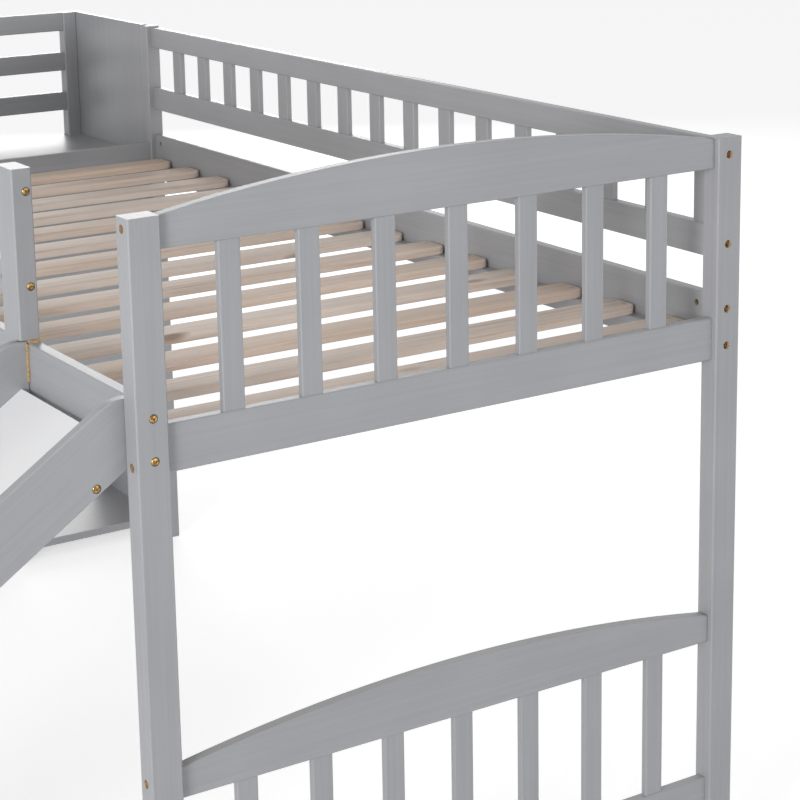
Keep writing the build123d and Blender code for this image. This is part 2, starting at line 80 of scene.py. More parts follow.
def srgb(code, alpha=1.0):
    """The linear colour of an sRGB hex value."""
    parts = [int(code[i:i + 2], 16) / 255 for i in (1, 3, 5)]
    linear = [p / 12.92 if p <= 0.04045 else ((p + 0.055) / 1.055) ** 2.4 for p in parts]
    return (*linear, alpha)


def colour(name, description, code):
    """A colour that the user can change."""
    return FloatVectorProperty(name=name, description=description, subtype="COLOR", size=4, min=0.0,
                               max=1.0, default=srgb(code))


def length(name, description, millimetres):
    """A length that the user can change, given in millimetres and kept in metres."""
    return FloatProperty(name=name, description=description, subtype="DISTANCE", unit="LENGTH",
                         default=millimetres * MM, precision=4)


def factor(name, description, value, high=1.0):
    """A plain amount that the user can change."""
    return FloatProperty(name=name, description=description, subtype="FACTOR", min=0.0, max=high,
                         default=value)


def measure(name, description, value, unit):
    """A measure that the user can change, such as a lamp's power in watts."""
    return FloatProperty(name=name, description=description, unit=unit, min=0.0, default=value)


class LoftBedPaint(bpy.types.PropertyGroup):
    """Colours and grain of the painted wood."""
    light: colour("Light Grey", "Paint where the coat is full", "#a9aaad")
    dark: colour("Dark Grey", "Paint in the grain's hollows", "#a1a2a5")
    roughness: factor("Roughness", "How dull the semi-gloss paint is", 0.4)
    grain_pitch: length("Grain Pitch", "Distance between grain lines under the paint", 6.0)
    grain_depth: length("Grain Depth", "How far the grain shows through the paint", 0.03)


class LoftBedSlats(bpy.types.PropertyGroup):
    """Shape and colours of the bare pine slats."""
    corner: length("Corner Radius", "Rounding of a slat's corners seen from above", 14.0)
    ease: length("Edge Ease", "Rounding of a slat's long edges", 3.0)
    pale: colour("Pale Pine", "Spring wood between the grain lines", "#eedfd2")
    warm: colour("Warm Pine", "Spring wood of the pinker slats", "#e6cdba")
    line: colour("Grain Line", "Darker summer wood", "#c8ab93")
    knot: colour("Knot", "Small knots and pores", "#7d5a40")
    grain_pitch: length("Grain Pitch", "Distance between a slat's grain lines", 9.0)
    seed: IntProperty(name="Seed", description="Which slats are pale or warm", default=7)
    screw_radius: length("Screw Radius", "Radius of the slat screws' heads", 2.6)
    screw_inset: length("Screw Inset", "Distance of the screws from a slat's end", 13.0)
    screw_spread: length("Screw Spread", "Distance between a slat end's two screws", 26.0)


class LoftBedFasteners(bpy.types.PropertyGroup):
    """Shape and colours of the bolts and cross nuts."""
    brass: colour("Antique Brass", "Metal where it is rubbed bright", "#c6a468")
    tarnish: colour("Tarnish", "Metal under the patina's blotches", "#6d5530")
    roughness: factor("Roughness", "How dull the brass is", 0.3)
    dome: length("Dome", "How far a bolt's crown stands above its rim", 1.6)
    socket_width: length("Socket Width", "Width of the hexagon socket across its flats", 4.0)
    socket_depth: length("Socket Depth", "Depth of the hexagon socket", 2.4)
    bore_radius: length("Bore Radius", "Outer radius of the bare wood that lines a counterbore", 6.49)
    sleeve_wall: length("Sleeve Wall", "Thickness of the bare wood that lines a counterbore", 0.2)
    deepest: length("Deepest Recess", "The deepest counterbore that bare wood lines", 8.0)
    sides: IntProperty(name="Sides", description="Facets round a bolt, a multiple of six", default=24,
                       min=12)


class LoftBedSlide(bpy.types.PropertyGroup):
    """Colours of the slide's sliding panel and of the raw packers."""
    face: colour("Panel White", "Lacquered face of the panel", "#fafafb")
    edge: colour("Panel Edge", "Bare fibreboard edge of the panel", "#8c7460")
    raw: colour("Raw Wood", "Sawn, unpainted packers", "#c9ac84")
    roughness: factor("Roughness", "How dull the lacquer is", 0.28)


class LoftBedStage(bpy.types.PropertyGroup):
    """Floor, lights and camera."""
    floor_size: length("Floor Size", "Side of the square floor", 40000.0)
    floor: colour("Floor", "Pale studio floor", "#e4e4e6")
    floor_glow: factor("Floor Glow", "How much of the floor's white is there before it is lit", 0.58)
    level_light: factor("Level Light", "Light from the walls all round", 0.5, 2.0)
    top_light: factor("Top Light", "Light from the ceiling", 0.4, 2.0)
    key_power: measure("Key Power", "Watts of the softbox in front on the left", 310.0, "POWER")
    fill_power: measure("Fill Power", "Watts of the softbox in front on the right", 45.0, "POWER")
    rear_power: measure("Rear Power", "Watts of the softbox behind", 120.0, "POWER")
    lens: measure("Lens", "Focal length in millimetres", 95.3, "CAMERA")
    shift: FloatProperty(name="Shift", description="Vertical shift of the view", default=-0.2)


GROUPS = {
    "loft_bed_paint": LoftBedPaint,
    "loft_bed_slats": LoftBedSlats,
    "loft_bed_fasteners": LoftBedFasteners,
    "loft_bed_slide": LoftBedSlide,
    "loft_bed_stage": LoftBedStage,
}


def add(tree, kind, inputs=None, stops=None, **settings):
    """Adds a shader node with its settings, its input values and links, and its ramp's stops."""
    made = tree.nodes.new(kind)
    for key, value in settings.items():
        setattr(made, key, value)
    for key, value in (inputs or {}).items():
        if isinstance(value, bpy.types.NodeSocket):
            tree.links.new(value, made.inputs[key])
        else:
            made.inputs[key].default_value = value
    if stops:
        elements = made.color_ramp.elements
        while len(elements) < len(stops):
            elements.new(1.0)
        for element, (place, shade) in zip(elements, stops):
            element.position = place
            element.color = shade
    return made


def new_material(name):
    """A node material with an empty tree, and the tree."""
    material = bpy.data.materials.new(name)
    material.use_nodes = True
    material.node_tree.nodes.clear()
    return material, material.node_tree


def surface(tree, shader):
    """Joins a shader to the material's output."""
    add(tree, "ShaderNodeOutputMaterial", {"Surface": shader})


# How far a pattern whose grain runs along X is turned, by the way that a board's grain runs
AXIS_TURN = {"x": (0.0, 0.0, 0.0), "y": (0.0, 0.0, -math.pi / 2), "z": (0.0, math.pi / 2, 0.0),
             "slope": (0.0, SLIDE_TILT, 0.0)}


def painted_wood(context, axis):
    """Semi-gloss grey paint sprayed on solid pine. The coat is thin, so the eye finds faint grain
    lines along each board, a slight cloudiness and a soft, broad highlight."""
    name = f"painted_pine_{axis}"
    if name in bpy.data.materials:
        return bpy.data.materials[name]
    paint = context.scene.loft_bed_paint
    material, tree = new_material(name)
    place = add(tree, "ShaderNodeTexCoord").outputs["Object"]
    board = add(tree, "ShaderNodeMapping", {"Vector": place, "Rotation": AXIS_TURN[axis]},
                vector_type="POINT").outputs["Vector"]
    # A grain line runs on for about 400 mm
    along, across = 1 / (400.0 * MM), 1 / paint.grain_pitch
    stretched = add(tree, "ShaderNodeMapping", {"Vector": board, "Scale": (along, across, across)})
    grain = add(tree, "ShaderNodeTexNoise", {"Vector": stretched.outputs["Vector"], "Scale": 1.0,
                                             "Detail": 3.0, "Roughness": 0.55, "Distortion": 0.3})
    # The coat's clouds are about 200 mm across
    cloud = add(tree, "ShaderNodeTexNoise", {"Vector": board, "Scale": 1 / (200.0 * MM), "Detail": 2.0})
    # Spray mottle is finer in life, and is drawn at 2 mm so that it shows
    peel = add(tree, "ShaderNodeTexNoise", {"Vector": board, "Scale": 1 / (2.0 * MM), "Detail": 1.0})
    both = add(tree, "ShaderNodeMix", {"Factor": 0.45, "A": grain.outputs["Fac"],
                                       "B": cloud.outputs["Fac"]}, data_type="FLOAT")
    tone = add(tree, "ShaderNodeValToRGB", {"Fac": both.outputs["Result"]},
               stops=[(0.36, paint.dark), (0.62, paint.light)])
    dull = add(tree, "ShaderNodeMapRange", {"Value": peel.outputs["Fac"],
                                            "To Min": paint.roughness - 0.06,
                                            "To Max": paint.roughness + 0.08})
    grain_bump = add(tree, "ShaderNodeBump", {"Height": grain.outputs["Fac"], "Strength": 0.4,
                                              "Distance": paint.grain_depth})
    bump = add(tree, "ShaderNodeBump", {"Height": peel.outputs["Fac"], "Strength": 0.25,
                                        "Distance": 0.03 * MM, "Normal": grain_bump.outputs["Normal"]})
    shader = add(tree, "ShaderNodeBsdfPrincipled", {
        "Base Color": tone.outputs["Color"], "Roughness": dull.outputs["Result"], "IOR": 1.48,
        "Normal": bump.outputs["Normal"]})
    surface(tree, shader.outputs["BSDF"])
    return material


def bare_pine(context):
    """Planed, unfinished pine. Each slat has its own tone, fine grain lines along its length,
    streaks of darker summer wood and a few small knots."""
    slats = context.scene.loft_bed_slats
    material, tree = new_material("bare_pine")
    place = add(tree, "ShaderNodeTexCoord").outputs["Object"]
    tone = add(tree, "ShaderNodeAttribute", attribute_name="tone").outputs["Fac"]
    # A slat's tone also shifts its grain by metres, so that no two slats are cut alike
    offset = add(tree, "ShaderNodeVectorMath", {0: (9.1, 5.3, 7.7), "Scale": tone}, operation="SCALE")
    own = add(tree, "ShaderNodeVectorMath", {0: place, 1: offset.outputs["Vector"]}).outputs["Vector"]
    # A streak runs on for about 500 mm along a slat
    along, across = 1 / (500.0 * MM), 1 / slats.grain_pitch
    stretched = add(tree, "ShaderNodeMapping", {"Vector": own, "Scale": (along, across, across)})
    streak = add(tree, "ShaderNodeTexNoise", {"Vector": stretched.outputs["Vector"], "Scale": 1.0,
                                              "Detail": 4.0, "Roughness": 0.6, "Distortion": 0.6})
    # Pores are finer in life, and are drawn about 2 mm apart and 125 mm long so that they show
    pore_along, pore_across = 1 / (125.0 * MM), 5 * across
    thread = add(tree, "ShaderNodeMapping", {"Vector": own,
                                             "Scale": (pore_along, pore_across, pore_across)})
    pores = add(tree, "ShaderNodeTexNoise", {"Vector": thread.outputs["Vector"], "Scale": 1.0,
                                             "Detail": 2.0, "Roughness": 0.7})
    body = add(tree, "ShaderNodeMix", {"Factor": tone, "A": slats.pale, "B": slats.warm},
               data_type="RGBA")
    lines = add(tree, "ShaderNodeMapRange", {"Value": streak.outputs["Fac"], "From Min": 0.5,
                                             "From Max": 0.75, "To Max": 0.75})
    grained = add(tree, "ShaderNodeMix", {"Factor": lines.outputs["Result"],
                                          "A": body.outputs["Result"], "B": slats.line},
                  data_type="RGBA")
    fleck = add(tree, "ShaderNodeMapRange", {"Value": pores.outputs["Fac"], "From Min": 0.55,
                                             "From Max": 0.8, "To Max": 0.35})
    flecked = add(tree, "ShaderNodeMix", {"Factor": fleck.outputs["Result"],
                                          "A": grained.outputs["Result"], "B": slats.knot},
                  data_type="RGBA")
    # A knot every 290 mm or so along a slat, and every 110 mm across it
    knot_along, knot_across = 3.5, 9.0
    spread = add(tree, "ShaderNodeMapping", {"Vector": own,
                                             "Scale": (knot_along, knot_across, knot_across)})
    knots = add(tree, "ShaderNodeTexVoronoi", {"Vector": spread.outputs["Vector"], "Scale": 1.0})
    eye = add(tree, "ShaderNodeMapRange", {"Value": knots.outputs["Distance"], "From Min": 0.05,
                                           "From Max": 0.13, "To Min": 0.7, "To Max": 0.0})
    knotted = add(tree, "ShaderNodeMix", {"Factor": eye.outputs["Result"],
                                          "A": flecked.outputs["Result"], "B": slats.knot},
                  data_type="RGBA")
    bump = add(tree, "ShaderNodeBump", {"Height": pores.outputs["Fac"], "Strength": 0.4,
                                        "Distance": 0.08 * MM})
    shader = add(tree, "ShaderNodeBsdfPrincipled", {
        "Base Color": knotted.outputs["Result"], "Roughness": 0.62, "IOR": 1.45,
        "Normal": bump.outputs["Normal"]})
    surface(tree, shader.outputs["BSDF"])
    return material


def antique_brass(context):
    """Brass plated steel with a dark patina, which stays in brown blotches on the rubbed metal."""
    name = "antique_brass"
    if name in bpy.data.materials:
        return bpy.data.materials[name]
    metal = context.scene.loft_bed_fasteners
    material, tree = new_material(name)
    place = add(tree, "ShaderNodeTexCoord").outputs["Object"]
    # The patina's blotches are about 3 mm across
    patina = add(tree, "ShaderNodeTexNoise", {"Vector": place, "Scale": 1 / (3.0 * MM), "Detail": 2.0})
    tone = add(tree, "ShaderNodeValToRGB", {"Fac": patina.outputs["Fac"]},
               stops=[(0.38, metal.tarnish), (0.56, metal.brass)])
    dull = add(tree, "ShaderNodeMapRange", {"Value": patina.outputs["Fac"],
                                            "To Min": metal.roughness + 0.15,
                                            "To Max": metal.roughness - 0.1})
    shader = add(tree, "ShaderNodeBsdfPrincipled", {
        "Base Color": tone.outputs["Color"], "Metallic": 1.0, "Roughness": dull.outputs["Result"]})
    surface(tree, shader.outputs["BSDF"])
    return material


def lacquered_board(context):
    """White lacquered fibreboard. The face is smooth with a soft reflection, and the cut edges
    show the brown board."""
    slide = context.scene.loft_bed_slide
    material, tree = new_material("lacquered_fibreboard")
    shape = add(tree, "ShaderNodeTexCoord")
    out = (-math.sin(SLIDE_TILT), 0.0, math.cos(SLIDE_TILT))
    facing = add(tree, "ShaderNodeVectorMath", {0: shape.outputs["Normal"], 1: out},
                 operation="DOT_PRODUCT")
    flat = add(tree, "ShaderNodeMath", {0: facing.outputs["Value"]}, operation="ABSOLUTE")
    on_face = add(tree, "ShaderNodeMapRange", {"Value": flat.outputs["Value"], "From Min": 0.6,
                                               "From Max": 0.9})
    # Lacquer flows out in waves about 30 mm long
    wave = add(tree, "ShaderNodeTexNoise", {"Vector": shape.outputs["Object"],
                                            "Scale": 1 / (30.0 * MM)})
    tone = add(tree, "ShaderNodeMix", {"Factor": on_face.outputs["Result"], "A": slide.edge,
                                       "B": slide.face}, data_type="RGBA")
    bump = add(tree, "ShaderNodeBump", {"Height": wave.outputs["Fac"], "Strength": 0.1,
                                        "Distance": 0.2 * MM})
    shader = add(tree, "ShaderNodeBsdfPrincipled", {
        "Base Color": tone.outputs["Result"], "Roughness": slide.roughness, "IOR": 1.5,
        "Normal": bump.outputs["Normal"]})
    surface(tree, shader.outputs["BSDF"])
    return material


def sawn_wood(context):
    """Sawn, bare softwood of the packers and of the bolt holes, with a coarse saw texture."""
    name = "sawn_softwood"
    if name in bpy.data.materials:
        return bpy.data.materials[name]
    slide = context.scene.loft_bed_slide
    material, tree = new_material(name)
    place = add(tree, "ShaderNodeTexCoord").outputs["Object"]
    # Saw marks are about 3 mm apart
    marks = add(tree, "ShaderNodeTexNoise", {"Vector": place, "Scale": 1 / (3.0 * MM), "Detail": 3.0})
    dark = tuple(0.55 * part for part in slide.raw[:3]) + (1.0,)
    tone = add(tree, "ShaderNodeValToRGB", {"Fac": marks.outputs["Fac"]},
               stops=[(0.35, dark), (0.6, slide.raw)])
    bump = add(tree, "ShaderNodeBump", {"Height": marks.outputs["Fac"], "Strength": 0.5,
                                        "Distance": 0.1 * MM})
    shader = add(tree, "ShaderNodeBsdfPrincipled", {
        "Base Color": tone.outputs["Color"], "Roughness": 0.75, "Normal": bump.outputs["Normal"]})
    surface(tree, shader.outputs["BSDF"])
    return material


def dress(name, material):
    """Gives a CAD node its material."""
    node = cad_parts[name]
    if not node.material_slots:
        node.data.materials.append(None)
    for slot in node.material_slots:
        slot.link = "OBJECT"
        slot.material = material


def make_piece(bm, name, material, replaced=()):
    """Makes a piece of a bmesh, shades it, and rides it on the bed."""
    mesh = bpy.data.meshes.new(name)
    bm.to_mesh(mesh)
    bm.free()
    mesh.shade_smooth()
    mesh.set_sharp_from_angle(angle=SHARP)
    mesh.materials.append(material)
    piece = bpy.data.objects.new(name, mesh)
    bpy.context.scene.collection.objects.link(piece)
    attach(piece, BODY)
    if replaced:
        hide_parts(*replaced)
    return piece


def solids(name):
    """The separate solids of a CAD node, each as its corner points, in the order of their middles."""
    bm = bmesh.new()
    bm.from_mesh(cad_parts[name].data)
    bmesh.ops.remove_doubles(bm, verts=bm.verts, dist=MERGE)
    waiting = set(bm.verts)
    found = []
    while waiting:
        reached = [waiting.pop()]
        for vert in reached:
            for edge in vert.link_edges:
                other = edge.other_vert(vert)
                if other in waiting:
                    waiting.remove(other)
                    reached.append(other)
        found.append([vert.co.copy() for vert in reached])
    bm.free()
    return sorted(found, key=lambda points: tuple(round(v, 4) for v in centre(points)))


def centre(points):
    """The middle of the box round some points."""
    low, high = box_of(points)
    return (low + high) / 2


def box_of(points):
    """The corners of the box round some points."""
    low = Vector(min(point[i] for point in points) for i in range(3))
    high = Vector(max(point[i] for point in points) for i in range(3))
    return low, high


def main_axis(vector):
    """Which of X, Y and Z a vector reaches furthest along, as 0, 1 or 2."""
    return max(range(3), key=lambda i: abs(vector[i]))


def stamp(bm, template, matrix):
    """Adds a copy of a mesh at a place, and returns how many corners it has."""
    before = len(bm.verts)
    bm.from_mesh(template)
    bm.verts.ensure_lookup_table()
    bmesh.ops.transform(bm, matrix=matrix, verts=bm.verts[before:])
    return len(bm.verts) - before


def aimed(point, direction):
    """A matrix that puts a shape's origin at a point and turns its Z axis along a direction."""
    return Matrix.Translation(point) @ direction.to_track_quat("Z", "Y").to_matrix().to_4x4()


def spun(profile, sides):
    """A round shape turned from a profile of radii and heights."""
    bm = bmesh.new()
    line = [bm.verts.new((radius, 0.0, height)) for radius, height in profile]
    edges = [bm.edges.new(pair) for pair in zip(line, line[1:])]
    bmesh.ops.spin(bm, geom=line + edges, cent=(0, 0, 0), axis=(0, 0, 1), dvec=(0, 0, 0), angle=TURN,
                   steps=sides, use_merge=True)
    bmesh.ops.remove_doubles(bm, verts=bm.verts, dist=MERGE)
    bmesh.ops.recalc_face_normals(bm, faces=bm.faces)
    return bm


def kept(bm, name):
    """The mesh of a bmesh, which is freed."""
    mesh = bpy.data.meshes.new(name)
    bm.to_mesh(mesh)
    bm.free()
    return mesh


def bolt_places(name):
    """Each bolt of a node: the middle of its crown, the way its crown faces, its head's radius and
    height, its shank's radius and its whole length."""
    places = []
    for points in solids(name):
        low, high = box_of(points)
        spans = high - low
        axis = main_axis(spans)
        middle = (low + high) / 2

        def away(point):
            """How far a point lies from the bolt's middle line."""
            offset = point - middle
            offset[axis] = 0.0
            return offset.length

        ends = {side: max(away(p) for p in points if abs(p[axis] - edge[axis]) < END_BAND)
                for side, edge in ((-1.0, low), (1.0, high))}
        side = max(ends, key=ends.get)
        head_radius, shank_radius = ends[side], ends[-side]
        wide = [p[axis] for p in points if away(p) > (head_radius + shank_radius) / 2]
        facing = Vector((0.0, 0.0, 0.0))
        facing[axis] = side
        crown = middle.copy()
        crown[axis] = high[axis] if side > 0 else low[axis]
        places.append((crown, facing, head_radius, max(wide) - min(wide), shank_radius, spans[axis]))
    return places


# The painted boards, by the step that paints them
PAINTED = {
    "frame": ["foot_post_front", "foot_post_back", "head_post_front", "head_post_back", "side_rail_front",
              "side_rail_back", "slat_ledger_front", "slat_ledger_back", "head_rail"],
    "foot": ["foot_upper_arched_rail", "foot_upper_bottom_rail", "foot_upper_spindles",
             "foot_lower_arched_rail", "foot_lower_bottom_rail", "foot_lower_spindles"],
    "guard": ["back_guard_top_rail", "back_guard_low_rail", "back_guard_spindles", "back_guard_stile",
              "front_guard_top_rail", "front_guard_low_rail", "front_guard_spindles", "front_gate_post",
              "head_guard_top_rail", "head_guard_low_rail", "head_guard_spindles", "head_gate_post"],
    "slide": ["slide_board_near", "slide_board_far", "slide_braces"],
    "stair": ["stair_side_board", "stair_back_board", *(f"stair_divider_{i}" for i in (1, 2, 3, 4)),
              *(f"stair_tread_{i}" for i in (1, 2, 3)), "stair_landing", "stair_shelf",
              "stair_base_boards", "railing_post_corner", "railing_post_step",
              *(f"railing_rail_{i}" for i in (1, 2, 3))],
}


def grain_axis(name):
    """The way a board's grain runs: up its spindles, down the slide or along its longest side."""
    if name.endswith("spindles"):
        return "z"
    if name.startswith("slide_board"):
        return "slope"
    if name == "slide_braces":
        return "y"
    low, high = (Vector(corner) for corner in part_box(name))
    return "xyz"[main_axis(high - low)]


def paint_group(context, group):
    """Paints a group of boards."""
    for name in PAINTED[group]:
        dress(name, painted_wood(context, grain_axis(name)))


class LOFTBED_OT_paint_frame(bpy.types.Operator):
    """Paint the posts, side rails, ledgers and head rail"""
    bl_idname = "loft_bed.paint_frame"
    bl_label = "Paint Frame"

    def execute(self, context):
        paint_group(context, "frame")
        return {"FINISHED"}


class LOFTBED_OT_paint_foot_panels(bpy.types.Operator):
    """Paint the two arched foot panels"""
    bl_idname = "loft_bed.paint_foot_panels"
    bl_label = "Paint Foot Panels"

    def execute(self, context):
        paint_group(context, "foot")
        return {"FINISHED"}


class LOFTBED_OT_paint_guards(bpy.types.Operator):
    """Paint the guards round the deck"""
    bl_idname = "loft_bed.paint_guards"
    bl_label = "Paint Guards"

    def execute(self, context):
        paint_group(context, "guard")
        return {"FINISHED"}


class LOFTBED_OT_paint_stairs(bpy.types.Operator):
    """Paint the stairs and the landing's railing"""
    bl_idname = "loft_bed.paint_stairs"
    bl_label = "Paint Stairs"

    def execute(self, context):
        paint_group(context, "stair")
        return {"FINISHED"}


class LOFTBED_OT_dress_slide(bpy.types.Operator):
    """Paint the slide's boards and braces, and lacquer its panel"""
    bl_idname = "loft_bed.dress_slide"
    bl_label = "Dress Slide"

    def execute(self, context):
        paint_group(context, "slide")
        dress("slide_panel", lacquered_board(context))
        return {"FINISHED"}


class LOFTBED_OT_dress_packers(bpy.types.Operator):
    """Give the raw packers their sawn wood"""
    bl_idname = "loft_bed.dress_packers"
    bl_label = "Dress Packers"

    def execute(self, context):
        for name in ("gate_post_packer", "slide_packer_strip"):
            dress(name, sawn_wood(context))
        return {"FINISHED"}


def rise(edge):
    """How far an edge climbs from one end to the other."""
    return abs(edge.verts[0].co.z - edge.verts[1].co.z)


class LOFTBED_OT_make_slats(bpy.types.Operator):
    """Make the slats with rounded corners and eased edges, each with its own tone"""
    bl_idname = "loft_bed.make_slats"
    bl_label = "Make Slats"

    def execute(self, context):
        sizes = context.scene.loft_bed_slats
        draw = random.Random(sizes.seed)
        boxes = [box_of(points) for points in solids("slats")]
        span = boxes[0][1] - boxes[0][0]
        shape = bmesh.new()
        bmesh.ops.create_cube(shape, size=1.0)
        bmesh.ops.scale(shape, vec=span, verts=shape.verts)
        upright = [edge for edge in shape.edges if rise(edge) > MERGE]
        bmesh.ops.bevel(shape, geom=upright, offset=sizes.corner, segments=6, profile=0.5,
                        affect="EDGES", material=-1)
        rim = [edge for edge in shape.edges if rise(edge) < MERGE]
        bmesh.ops.bevel(shape, geom=rim, offset=sizes.ease, segments=3, profile=0.5, affect="EDGES",
                        material=-1)
        template = kept(shape, "slat_template")
        bm = bmesh.new()
        tones = []
        for low, high in boxes:
            count = stamp(bm, template, Matrix.Translation((low + high) / 2))
            tones += [draw.random()] * count
        bpy.data.meshes.remove(template)
        piece = make_piece(bm, "slat_boards", bare_pine(context), ["slats"])
        layer = piece.data.attributes.new("tone", "FLOAT", "POINT")
        layer.data.foreach_set("value", tones)
        return {"FINISHED"}


# A countersunk screw from its recess to its tip, as radii and heights in head radii
SCREW_PROFILE = [(0.0, -0.4), (0.25, -0.3), (0.7, 0.06), (1.0, 0.0), (0.45, -1.1), (0.4, -3.0), (0.0, -3.4)]
SCREW_SIDES = 12


class LOFTBED_OT_make_slat_screws(bpy.types.Operator):
    """Make the two small screws in each end of every slat"""
    bl_idname = "loft_bed.make_slat_screws"
    bl_label = "Make Slat Screws"

    def execute(self, context):
        sizes = context.scene.loft_bed_slats
        head = sizes.screw_radius
        profile = [(head * radius, head * height) for radius, height in SCREW_PROFILE]
        template = kept(spun(profile, SCREW_SIDES), "screw_template")
        bm = bmesh.new()
        for points in solids("slats"):
            low, high = box_of(points)
            for x in (low.x + sizes.screw_inset, high.x - sizes.screw_inset):
                for side in (-0.5, 0.5):
                    y = (low.y + high.y) / 2 + side * sizes.screw_spread
                    stamp(bm, template, Matrix.Translation((x, y, high.z)))
        bpy.data.meshes.remove(template)
        make_piece(bm, "slat_screws", antique_brass(context))
        return {"FINISHED"}


# How far a bolt's edges are eased, across and along it: at the socket's mouth, the crown's rim,
# the head's back and the shank's tip
MOUTH_EASE = (0.55 * MM, 0.25 * MM)
RIM_EASE = (0.25 * MM, 0.35 * MM)
BACK_EASE = (0.3 * MM, 0.3 * MM)
TIP_EASE = (0.7 * MM, 0.8 * MM)
SIXTH = math.pi / 3


def bolt_template(metal, head_radius, head_height, shank_radius, whole):
    """A furniture bolt with a domed, flanged crown and a hexagon socket, its crown at the origin."""
    flat = metal.socket_width / 2
    assert flat / math.cos(SIXTH / 2) < head_radius, "the socket is wider than the crown"
    socket = [
        (0.0, -metal.socket_depth * 1.15),
        (flat * 0.6, -metal.socket_depth),
        (flat, -metal.socket_depth),
        (flat, -MOUTH_EASE[1]),
    ]
    crown = [
        (flat + MOUTH_EASE[0], 0.0),
        (head_radius * 0.66, -metal.dome * 0.18),
        (head_radius * 0.84, -metal.dome * 0.5),
        (head_radius - RIM_EASE[0], -metal.dome * 0.92),
        (head_radius, -metal.dome - RIM_EASE[1]),
        (head_radius, -head_height + BACK_EASE[1]),
        (head_radius - BACK_EASE[0], -head_height),
    ]
    shank = [
        (shank_radius, -head_height),
        (shank_radius, -whole + TIP_EASE[1]),
        (shank_radius - TIP_EASE[0], -whole),
        (0.0, -whole),
    ]
    bm = spun(socket + crown + shank, metal.sides)
    # The socket's round wall is pushed out to a hexagon
    for vert in bm.verts:
        ring = math.hypot(vert.co.x, vert.co.y)
        if abs(ring - flat) < MERGE and vert.co.z > -head_height:
            turned = math.atan2(vert.co.y, vert.co.x) % SIXTH - SIXTH / 2
            stretch = flat / math.cos(turned) / ring
            vert.co.x *= stretch
            vert.co.y *= stretch
    return kept(bm, "bolt_template")


BOLTS = ["foot_post_bolts", "head_post_bolts", "foot_panel_bolts", "head_panel_bolts", "gate_post_bolts",
         "slide_bolts", "slide_end_bolts"]


class LOFTBED_OT_make_bolts(bpy.types.Operator):
    """Make the furniture bolts, with domed crowns and hexagon sockets"""
    bl_idname = "loft_bed.make_bolts"
    bl_label = "Make Bolts"

    def execute(self, context):
        metal = context.scene.loft_bed_fasteners
        for name in BOLTS:
            bm = bmesh.new()
            for crown, facing, *size in bolt_places(name):
                template = bolt_template(metal, *size)
                stamp(bm, template, aimed(crown, facing))
                bpy.data.meshes.remove(template)
            make_piece(bm, f"{name}_turned", antique_brass(context), [name])
        return {"FINISHED"}


def recess(crown, facing):
    """How far a bolt's crown lies from the face of the board that it is sunk into."""
    for group in PAINTED.values():
        for name in group:
            if name.endswith("spindles"):
                continue
            low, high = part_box(name)
            if all(low[i] < crown[i] < high[i] for i in range(3)):
                axis = main_axis(facing)
                return abs((high[axis] if facing[axis] > 0 else low[axis]) - crown[axis])
    return 0.0


class LOFTBED_OT_make_bore_sleeves(bpy.types.Operator):
    """Make the bare wood that shows inside the bolts' counterbores"""
    bl_idname = "loft_bed.make_bore_sleeves"
    bl_label = "Make Bore Sleeves"

    def execute(self, context):
        metal = context.scene.loft_bed_fasteners
        outer, inner = metal.bore_radius, metal.bore_radius - metal.sleeve_wall
        bm = bmesh.new()
        for name in BOLTS:
            for crown, facing, *_size in bolt_places(name):
                depth = recess(crown, facing)
                if metal.sleeve_wall < depth < metal.deepest:
                    section = [(outer, 0.0), (inner, 0.0), (inner, depth - metal.sleeve_wall),
                               (outer, depth), (outer, 0.0)]
                    template = kept(spun(section, metal.sides), "sleeve_template")
                    stamp(bm, template, aimed(crown, facing))
                    bpy.data.meshes.remove(template)
        make_piece(bm, "bore_sleeves", sawn_wood(context))
        return {"FINISHED"}


class LOFTBED_OT_dress_cross_nuts(bpy.types.Operator):
    """Give the cross nuts their brass"""
    bl_idname = "loft_bed.dress_cross_nuts"
    bl_label = "Dress Cross Nuts"

    def execute(self, context):
        for name in ("frame_cross_nuts", "slide_cross_nuts"):
            dress(name, antique_brass(context))
        return {"FINISHED"}


def seen(tree):
    """1 where a surface is looked at, straight, mirrored or through glass, and 0 where it lights
    the bed."""
    path = add(tree, "ShaderNodeLightPath")
    mirrored = add(tree, "ShaderNodeMath", {0: path.outputs["Is Camera Ray"],
                                            1: path.outputs["Is Glossy Ray"]}, operation="MAXIMUM")
    through = add(tree, "ShaderNodeMath", {0: mirrored.outputs["Value"],
                                           1: path.outputs["Is Transmission Ray"]},
                  operation="MAXIMUM")
    return through.outputs["Value"]


def softbox(context, name, place, size, power):
    """A soft rectangular light aimed at the middle of the bed."""
    data = bpy.data.lights.new(name, "AREA")
    data.shape = "RECTANGLE"
    data.size, data.size_y = size
    data.energy = power
    lamp = bpy.data.objects.new(name, data)
    context.scene.collection.objects.link(lamp)
    aim = Vector(LIT_POINT) - Vector(place)
    lamp.matrix_world = Matrix.Translation(place) @ aim.to_track_quat("-Z", "Y").to_matrix().to_4x4()


